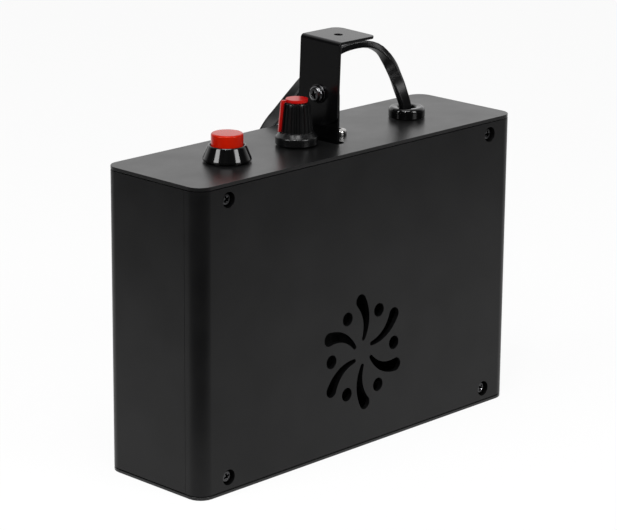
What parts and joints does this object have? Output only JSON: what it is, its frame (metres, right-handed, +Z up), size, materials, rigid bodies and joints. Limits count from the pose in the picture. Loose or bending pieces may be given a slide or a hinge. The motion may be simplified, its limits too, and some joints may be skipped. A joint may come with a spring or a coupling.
{
  "type": "strobe light",
  "caption": "Compact box strobe light with a speed knob, a flash button, a light window, a vented rear cover, a tilting hanger bracket and a mains cord.",
  "frame": {"origin": "middle of the housing's underside", "axes": "+X along the housing's length, from the button towards the cord outlet; +Y out of the light window; +Z up through the controls"},
  "size_m": [0.16, 0.1178, 0.1467],
  "materials": {
    "case_plastic": "satin black moulded plastic",
    "plate_plastic": "satin black plate",
    "dark_steel": "blackened steel",
    "nickel": "bright nickel plate",
    "clear_lens": "clear polycarbonate",
    "tube_glass": "clear glass",
    "polished_aluminium": "polished reflector sheet",
    "ceramic": "white ceramic",
    "board": "green glass-fibre board",
    "copper": "enamelled copper winding",
    "gloss_black": "glossy black plastic",
    "orange_red": "orange-red plastic",
    "brass": "plated brass",
    "knob_plastic": "satin black knob",
    "crimson": "crimson cap and pointer",
    "grommet_rubber": "glossy black bush",
    "bracket_steel": "satin black painted sheet",
    "cord_jacket": "black flexible jacket"
  },
  "bodies": {
    "root": {"front_shell": "case_plastic", "rear_cover": "case_plastic", "top_plate": "plate_plastic", "bottom_plate": "plate_plastic", "rear_screw_1": "dark_steel", "rear_screw_2": "dark_steel", "rear_screw_3": "dark_steel", "rear_screw_4": "dark_steel", "front_lens": "clear_lens", "reflector": "polished_aluminium", "flash_tube": "tube_glass", "trigger_band": "nickel", "tube_cap_1": "nickel", "tube_cap_2": "nickel", "tube_holder_1": "ceramic", "tube_holder_2": "ceramic", "circuit_board": "board", "board_screw_1": "nickel", "board_screw_2": "nickel", "board_screw_3": "nickel", "board_screw_4": "nickel", "storage_capacitor_1": "gloss_black", "storage_capacitor_2": "gloss_black", "trigger_coil": "copper", "ballast_resistor": "ceramic", "thyristor": "gloss_black", "fuse": "tube_glass", "button_housing": "gloss_black", "button_nut": "dark_steel", "button_spring": "nickel", "button_terminal_1": "brass", "button_terminal_2": "brass", "potentiometer": "nickel", "potentiometer_nut": "nickel", "grommet": "grommet_rubber", "foot_bracket": "bracket_steel", "foot_screw": "nickel", "foot_nut": "nickel", "pivot_screw": "dark_steel", "pivot_washer": "dark_steel", "pivot_nut": "dark_steel", "power_cord": "cord_jacket", "cord_coil": "cord_jacket", "cord_tail": "cord_jacket", "cord_tie": "gloss_black", "plug_body": "cord_jacket", "plug_blade_1": "brass", "plug_blade_2": "brass"},
    "button": {"button_cap": "orange_red"},
    "knob": {"speed_knob": "knob_plastic", "knob_cap": "crimson", "potentiometer_shaft": "nickel"},
    "hanger": {"hanger_bracket": "bracket_steel"}
  },
  "joints": [
    {"name": "button_press", "type": "slide", "parent": "root", "child": "button", "axis": [0, 0, -1], "range_m": [0, 0.0025], "stiffness_N_per_m": 400, "springref_m": -0.002, "deforming": ["button_spring"]},
    {"name": "knob_turn", "type": "hinge", "parent": "root", "child": "knob", "pos_m": [-0.0129, -0.0023, 0.1106], "axis": [0, 0, 1], "range_deg": [-210, 90]},
    {"name": "hanger_tilt", "type": "hinge", "parent": "root", "child": "hanger", "pos_m": [0, -0.0019, 0.1265], "axis": [1, 0, 0], "range_deg": [-92, 88]}
  ]
}
